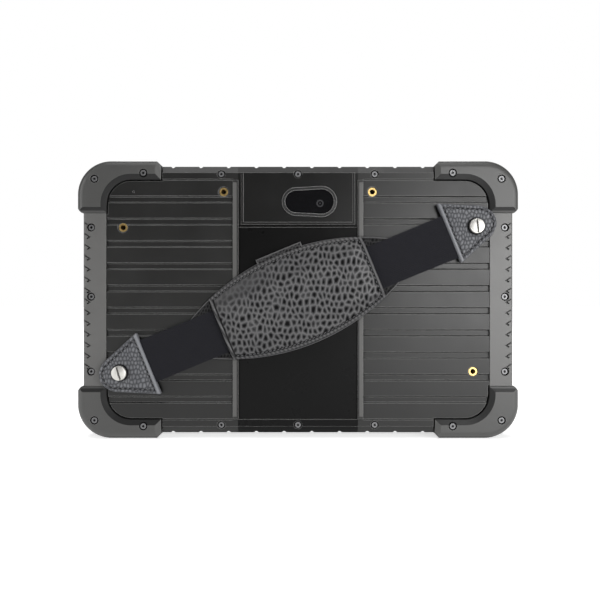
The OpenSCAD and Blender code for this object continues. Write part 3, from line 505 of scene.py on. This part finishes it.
# "step" is the colour of the painted highlight strip beside the dark middle band
backBand = {"half": 38.8 * mm, "edge": 42.2 * mm, "top": 138.2 * mm, "tall": 76 * mm, "middle": midHeight,
            "colour": (0.0035, 0.0035, 0.0035), "step": (0.07, 0.069, 0.067), "gloss": 0.8, "panel": 0.45,
            "shine": 0.1}
# painted shade on the bumpers' slopes that face the middle of the back
bumperInnerShade = {"middle": midHeight, "side": 100 * mm, "tall": 58 * mm, "colour": (0.012, 0.012, 0.012)}
# name, dark and light tone, roughness, grain size, grain depth, edge radius
case = mouldedMaterial("mouldedCase", (0.007, 0.007, 0.0067), (0.01, 0.01, 0.0096), 0.36,
                       0.5 * mm, 0.02 * mm, 0.4 * mm, edgeHighlightTone=0.2, centre=backBand, shine=0.35)
housing = mouldedMaterial("mouldedHousing", (0.01, 0.01, 0.0097), (0.014, 0.014, 0.0136), 0.42,
                          0.5 * mm, 0.02 * mm, 0.4 * mm, edgeHighlightTone=0.05, shine=0.35)
bumperRubber = mouldedMaterial("bumperRubber", (0.036, 0.036, 0.035), (0.046, 0.046, 0.044), 0.45,
                               0.6 * mm, 0.025 * mm, 0.6 * mm, edgeHighlightTone=0.1, inner=bumperInnerShade)
railRubber = mouldedMaterial("railRubber", (0.065, 0.064, 0.062), (0.085, 0.084, 0.082), 0.45,
                             0.6 * mm, 0.03 * mm, 0.3 * mm, edgeHighlightTone=0.14)
softRubber = mouldedMaterial("softRubber", (0.01, 0.01, 0.01), (0.015, 0.015, 0.015), 0.6,
                             0.5 * mm, 0.03 * mm, 0.3 * mm, shine=0.3)
trim = mouldedMaterial("anodisedTrim", (0.016, 0.016, 0.016), (0.024, 0.024, 0.024), 0.25,
                       0.5 * mm, 0.01 * mm, 0.35 * mm, edgeHighlightTone=0.4)
barrel = mouldedMaterial("lensBarrel", (0.012, 0.012, 0.013), (0.02, 0.02, 0.022), 0.35,
                         0.4 * mm, 0.01 * mm, 0.2 * mm)
thread = mouldedMaterial("waxedThread", (0.07, 0.07, 0.072), (0.12, 0.12, 0.124), 0.6,
                         0.2 * mm, 0.05 * mm, 0.05 * mm)
lampLens = mouldedMaterial("lampLens", (0.7, 0.63, 0.34), (0.85, 0.8, 0.55), 0.25,
                           0.3 * mm, 0.02 * mm, 0.2 * mm)
board = mouldedMaterial("circuitBoard", (0.01, 0.06, 0.03), (0.015, 0.09, 0.045), 0.4,
                        1.5 * mm, 0.05 * mm, 0.1 * mm)
cellWrap = mouldedMaterial("cellWrap", (0.05, 0.052, 0.056), (0.07, 0.072, 0.076), 0.5,
                           2 * mm, 0.05 * mm, 0.3 * mm)
blackSteel = metalMaterial("blackSteel", (0.19, 0.19, 0.194), 0.42, 0.15 * mm, shadeCrevices=True)
nickel = metalMaterial("nickel", (0.62, 0.61, 0.58), 0.4, 0.25 * mm, 0.01 * mm, shadeCrevices=True)
brass = metalMaterial("brass", (0.75, 0.52, 0.2), 0.25, 0.12 * mm, shadeCrevices=True)
steel = metalMaterial("steel", (0.55, 0.55, 0.53), 0.3, 0.1 * mm)
alloy = metalMaterial("castAlloy", (0.42, 0.43, 0.44), 0.45, 0.2 * mm)
leather = leatherMaterial("pebbledLeather", (0.004, 0.004, 0.0042), (0.078, 0.077, 0.078))
tabLeather = leatherMaterial("tabLeather", (0.012, 0.0122, 0.0132), (0.15, 0.153, 0.163))
elastic = weaveMaterial("wovenElastic", (0.0025, 0.0025, 0.0038), (0.008, 0.008, 0.0115))
darkGlass = glassMaterial("tintedGlass", (0.004, 0.004, 0.005), 0.06)
cameraGlass = glassMaterial("cameraGlass", (0.002, 0.002, 0.0025), 0.06, middle("rear_camera_module"))
screenGlass = glassMaterial("screenGlass", (0.004, 0.004, 0.005), 0.06)

finishes = {
    "rear_cover": case, "front_housing": housing, "perimeter_seal": softRubber, "chassis_plate": alloy,
    "side_rail_left": railRubber, "side_rail_right": railRubber,
    "corner_bumper_top_left": bumperRubber, "corner_bumper_top_right": bumperRubber,
    "corner_bumper_bottom_left": bumperRubber, "corner_bumper_bottom_right": bumperRubber,
    "case_screws": blackSteel, "bumper_screws": blackSteel, "threaded_inserts": brass,
    "camera_trim": trim, "camera_window": cameraGlass, "rear_camera_module": barrel, "flash_lamp": lampLens,
    "cover_glass": screenGlass, "display_panel": darkGlass, "front_camera_module": darkGlass,
    "main_board": board, "processor_shield": steel, "battery_pack": cellWrap, "antenna_board": board,
    "vibration_motor": steel, "speaker_left": housing, "speaker_right": housing, "key_board": board,
    "power_key": softRubber, "volume_up_key": softRubber, "volume_down_key": softRubber,
    "function_key": softRubber, "port_board": board, "usb_socket": steel, "hdmi_socket": steel,
    "power_socket": housing, "port_cover": softRubber,
    "strap_screw_lower": nickel, "strap_screw_upper": nickel,
}
for node, material in finishes.items():
    nodes[node].data.materials.clear()
    nodes[node].data.materials.append(material)
print("materials made")


# ---- hand pad ----

def bowed(length, mid, end):
    # half-width of a pad whose long edges are arcs through the given widths
    rise = (mid - end) / 2
    radius = (length ** 2 / 4 + rise ** 2) / (2 * rise)
    return lambda u: mid / 2 - radius + np.sqrt(np.maximum(radius ** 2 - u ** 2, 0))


def groove(edge, at, width, depth):
    return depth * np.exp(-((edge - at) / width) ** 2)


sleeve = {"from": -52.5 * mm, "to": 52.5 * mm, "mid": 59.5 * mm, "end": 41.5 * mm,
          "stations": 255, "rows": 150, "shift": lambda u: padShift, "roll": 1.1 * mm,
          "grain": 0.45 * mm, "pitch": 3.3 * mm, "tall": 1.3, "pulled": 0.0,
          "rim": 1.7 * mm, "rimTone": 1.0, "needle": 2.6 * mm,
          "fold": 1.5 * mm, "foldAt": 52.5 * mm, "foldTone": 0.8,
          "crown": 2.7 * mm, "underBand": 5.0 * mm, "underRim": 2.7 * mm, "bandHalf": 15 * mm,
          "leather": 2.3 * mm, "seam": 2.3 * mm}
sleeveHalf = bowed(sleeve["to"] - sleeve["from"], sleeve["mid"], sleeve["end"])


def sleeveUnder(u, v, edge):
    # the sleeve is lifted over the elastic and closed down beside it
    side = smooth((np.abs(v) - sleeve["bandHalf"]) / (4 * mm))
    return sleeve["underBand"] + (sleeve["underRim"] - sleeve["underBand"]) * side


def sleeveThickness(u, v, edge):
    inner = np.clip((edge - sleeve["seam"]) / (11 * mm), 0, 1)
    crown = sleeve["crown"] * np.sin(inner * math.pi / 2) ** 0.8
    return sleeve["leather"] + crown - groove(edge, sleeve["seam"], 0.55 * mm, 0.7 * mm)


sleevePiece, sleeveSheet = pillow("padSleeve", "hand_pad", leather, sleeve,
                                  sleeveHalf, sleeveUnder, sleeveThickness, 1.7)
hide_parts("hand_pad_sleeve")

leaf = {"from": -70 * mm, "to": 70 * mm, "mid": 62 * mm, "end": 25 * mm, "stations": 260, "rows": 110,
        "shift": lambda u: padShift, "roll": 0.7 * mm, "grain": 0.2 * mm, "pitch": 2.0 * mm, "tall": 1.2,
        "rim": 0.1 * mm, "rimTone": 1.0, "dim": 0.3, "leather": 1.6 * mm, "level": 0.95 * mm}
leafHalf = bowed(leaf["to"] - leaf["from"], leaf["mid"], leaf["end"])
leafPiece, _ = pillow(
    "padBase", "hand_pad", leather, leaf, leafHalf,
    lambda u, v, edge: leaf["level"] + 0 * u,
    lambda u, v, edge: leaf["leather"] - groove(edge, 2.2 * mm, 0.5 * mm, 0.35 * mm), 5.1)
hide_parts("hand_pad_base")

flap = {"from": -15.5 * mm, "to": 15.5 * mm, "reach": 8 * mm, "stations": 70, "rows": 36,
        "shift": lambda u: padShift + 24.7 * mm, "roll": 0.5 * mm,
        "grain": 0.2 * mm, "pitch": 2.0 * mm, "tall": 1.2, "rim": 0.2 * mm,
        "rimTone": 1.0, "dim": 0.45, "leather": 1.1 * mm, "level": 2.72 * mm}
flapPiece, _ = pillow(
    "padFlap", "hand_pad", leather, flap, lambda u: flap["reach"] + 0 * u,
    lambda u, v, edge: flap["level"] + 0 * u,
    lambda u, v, edge: flap["leather"] - groove(edge, 1.6 * mm, 0.4 * mm, 0.25 * mm), 8.3)
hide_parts("pad_closure_flap")


def seamRoute(half, low, high, inset, side):
    u = np.linspace(low + inset, high - inset, 160)
    return np.stack([u, padShift + side * (half(u) - inset * np.hypot(1, np.gradient(half(u), u)))], axis=-1)


padThread = {"pitch": 2.6 * mm, "length": 1.9 * mm, "radius": 0.3 * mm, "rise": 0.08 * mm, "slant": 0.18}
for label, side in (("Upper", 1), ("Lower", -1)):
    row = seamRoute(sleeveHalf, sleeve["from"], sleeve["to"], sleeve["seam"], side)
    piece = stitches("sleeveSeam" + label, "hand_pad", thread, sleeveSheet, row, padThread)
reach = sleeveHalf(np.array([sleeve["to"] - sleeve["seam"]]))[0] - sleeve["seam"]
v = np.linspace(-reach, reach, 60)
row = np.stack([sleeve["to"] - sleeve["seam"] + 0 * v, padShift + v], axis=-1)
piece = stitches("sleeveSeamEnd", "hand_pad", thread, sleeveSheet, row, padThread)
print("hand pad made")


# ---- end tabs ----

# The outline follows the photograph; the CAD tabs are symmetric and a little narrower.
tab = {"inner": {"lower": 18.9 * mm, "upper": 17.3 * mm}, "outer": 14.3 * mm,
       "wide": 13.5 * mm, "taper": 0.42, "corner": 7.3 * mm,
       "lop": {"lower": 0.5 * mm, "upper": 1.5 * mm}, "lopTaper": 0.05,
       "level": 0.6 * mm, "leather": 4.6 * mm, "crown": 0.7 * mm, "seam": 2.7 * mm}


def tabHalf(label, sign):
    # straight tapering sides, then a quarter circle down to the blunt outer end
    def half(u):
        out = sign * u - strapReach
        line = tab["wide"] - tab["taper"] * out
        past = np.clip(out - (tab["outer"] - tab["corner"]), 0, tab["corner"])
        near = np.clip((tab["inner"][label] + out) / (1.5 * mm), 0, 1)
        return line - (tab["corner"] - np.sqrt(tab["corner"] ** 2 - past ** 2)) - 0.8 * mm * (1 - near) ** 2
    return half


def tabShift(label, sign):
    # the side toward the case's corner stands out farther than the other
    return lambda u: sign * (tab["lop"][label] - tab["lopTaper"] * (sign * u - strapReach))


def tabThickness(u, v, edge):
    inner = np.clip((edge - tab["seam"]) / (5 * mm), 0, 1)
    around = np.hypot(np.abs(u) - strapReach, v)
    pressed = np.clip(1 - (around - 4.6 * mm) / (3 * mm), 0, 1)
    crown = tab["crown"] * inner * (1 - pressed)
    return tab["leather"] + crown - groove(edge, tab["seam"], 0.5 * mm, 0.6 * mm)


def tabRoute(half, shift, low, high, inset, sign):
    # once round the tab, parallel to its outline
    inner, outer = (low, high) if sign > 0 else (high, low)
    u = np.linspace(inner + sign * inset, outer - sign * inset, 60)
    v = half(u) - inset * np.hypot(1, np.gradient(half(u), u))
    v = np.maximum(v, 0)
    sideUp = np.stack([u, shift(u) + v], axis=-1)
    sideDown = np.stack([u, shift(u) - v], axis=-1)
    return np.concatenate([sideUp, sideDown[::-1], sideUp[:1]])


tabThread = {"pitch": 3.1 * mm, "length": 1.7 * mm, "radius": 0.28 * mm, "rise": 0.05 * mm, "slant": 0.15}
for label, sign in (("lower", -1), ("upper", 1)):
    foldAt = sign * (strapReach - tab["inner"][label])
    ends = sorted((foldAt, sign * (strapReach + tab["outer"])))
    shape = {"from": ends[0], "to": ends[1], "shift": tabShift(label, sign), "stations": 130, "rows": 130,
             "roll": 1.3 * mm, "grain": 0.3 * mm, "pitch": 2.1 * mm, "tall": 1.35, "pebbles": True,
             "dim": 0.8, "rim": 0.1 * mm, "rimTone": 0.6, "seam": tab["seam"],
             "fold": 1.9 * mm, "foldAt": foldAt, "foldTone": 1.0, "screwAt": sign * strapReach}
    outline = tabHalf(label, sign)
    piece, sheet = pillow("tab" + label.capitalize(), "tablet", tabLeather, shape, outline,
                          lambda u, v, edge: tab["level"] + 0 * u, tabThickness, 3.3 + sign)
    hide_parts("strap_tab_" + label)
    route = tabRoute(outline, shape["shift"], *ends, tab["seam"], sign)
    seam = stitches("tabSeam" + label.capitalize(), "tablet", thread, sheet, route, tabThread)
print("tabs made")


# ---- elastic ----

# At full lift the band cuts through the base's two ends.
band = {"half": 14.5 * mm, "thick": 1.3 * mm, "tabEnd": strapReach - 14 * mm, "padEnd": 36 * mm,
        "ribs": 26, "rib": 0.07 * mm, "padLevel": 4.2 * mm, "tabLevel": 3.4 * mm, "sag": 0.5 * mm,
        "bendFrom": 100 * mm, "bendTo": 53 * mm}
for label, sign in (("Lower", -1), ("Upper", 1)):
    # the cross-section is a flat loop with round edges and a ribbed face, carried along the strap
    angle = np.linspace(0, 2 * math.pi, 241)[:-1]
    flatness = np.sign(np.cos(angle)) * np.abs(np.cos(angle)) ** 0.35
    v = band["half"] * np.sin(angle)
    ribs = band["rib"] * np.cos(v / band["half"] * math.pi * band["ribs"]) * np.abs(flatness)
    h = (band["thick"] / 2 * np.abs(flatness) + ribs) * np.sign(flatness)
    u = np.linspace(band["tabEnd"], band["padEnd"], 90)
    pull = (u - band["padEnd"]) / (band["tabEnd"] - band["padEnd"])
    level = band["padLevel"] + (band["tabLevel"] - band["padLevel"]) * pull
    level = level - band["sag"] * np.sin(pull * math.pi)
    waist = 1 - 0.02 * np.sin(pull * math.pi)
    points = strapPoint(sign * u[:, None] + 0 * v, v * waist[:, None], level[:, None] + h)
    count = len(angle)
    faces = gridFaces(closedRing(np.arange(len(u) * count).reshape(len(u), count)))
    if sign < 0:
        faces = faces[:, ::-1]
    piece = makePiece("elastic" + label, points, faces, elastic, None)
    layer = piece.data.uv_layers.new(name="weave")
    corners = np.empty(len(piece.data.loops), dtype=np.int64)
    piece.data.loops.foreach_get("vertex_index", corners)
    places = np.stack([np.repeat(u, count), np.tile(v, len(u))], axis=-1) / mm
    layer.data.foreach_set("uv", places[corners].astype(np.float32).ravel())
    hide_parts("elastic_band")
    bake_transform(piece)
print("elastic made")


# ---- stage ----

def paperMaterial(name, colour, near, far):
    # pale studio paper that glows more with distance from the object, so no horizon shows
    material, tree, shader = newMaterial(name)
    away = add(tree, "ShaderNodeVectorMath", {"operation": "LENGTH"})
    tree.links.new(objectSpace(tree), away.inputs[0])
    glow = spread(tree, away.outputs["Value"], 0.3, 1.0, near, far)
    tree.links.new(glow, shader.inputs["Emission Strength"])
    shader.inputs["Base Color"].default_value = (*colour, 1)
    shader.inputs["Roughness"].default_value = 0.9
    shader.inputs["Specular IOR Level"].default_value = 0.1
    shader.inputs["Emission Color"].default_value = (1, 1, 1, 1)
    return material


floorMesh = bpy.data.meshes.new("floor")
floorMesh.from_pydata([(-6, -1, 0), (6, -1, 0), (6, 6, 0), (-6, 6, 0)], [], [(0, 1, 2, 3)])
floorMesh.materials.append(paperMaterial("paleFloor", (0.8, 0.8, 0.8), 0.65, 1.0))
floor = bpy.data.objects.new("floor", floorMesh)
bpy.context.scene.collection.objects.link(floor)

world = bpy.data.worlds.new("studio")
bpy.context.scene.world = world
world.use_nodes = True
sky = world.node_tree
background = sky.nodes["Background"]
seen = add(sky, "ShaderNodeLightPath").outputs["Is Camera Ray"]
sky.links.new(spread(sky, seen, 0, 1, 0.1, 1.0), background.inputs["Strength"])
background.inputs["Color"].default_value = (1, 1, 1, 1)


def softBox(name, place, target, width, height, power):
    data = bpy.data.lights.new(name, "AREA")
    data.shape = "RECTANGLE"
    data.size, data.size_y, data.energy = width, height, power
    lamp = bpy.data.objects.new(name, data)
    bpy.context.scene.collection.objects.link(lamp)
    lamp.location = place
    lamp.rotation_euler = (Vector(target) - Vector(place)).to_track_quat("-Z", "Y").to_euler()


centre = Vector((0, backLevel, midHeight))
# name, place in metres, width, height and watts of each soft light
softBoxes = [
    ("rightPanel", (0.72, -0.95, 0.13), 1.0, 0.65, 20),
    ("topPanel", (0.0, -0.3, 1.1), 1.0, 0.5, 6),
    ("leftFill", (-1.0, -0.5, 0.3), 0.5, 0.8, 4.5),
    ("behindTop", (0.0, 0.9, 1.1), 1.2, 0.6, 8),
]
for name, place, width, height, power in softBoxes:
    softBox(name, place, centre, width, height, power)

lens = bpy.data.cameras.new("camera")
lens.lens, lens.sensor_width = 30, 36
lens.clip_start, lens.clip_end = 0.01, 50
camera = bpy.data.objects.new("camera", lens)
bpy.context.scene.collection.objects.link(camera)
view = {"right": 1.3 * mm, "away": 322.6 * mm, "down": 0.3 * mm}
camera.location = (centre.x + view["right"], backLevel - view["away"], centre.z - view["down"])
camera.rotation_euler = (math.pi / 2, 0, 0)
bpy.context.scene.camera = camera
bpy.context.scene.view_settings.view_transform = "Standard"
print("stage made")
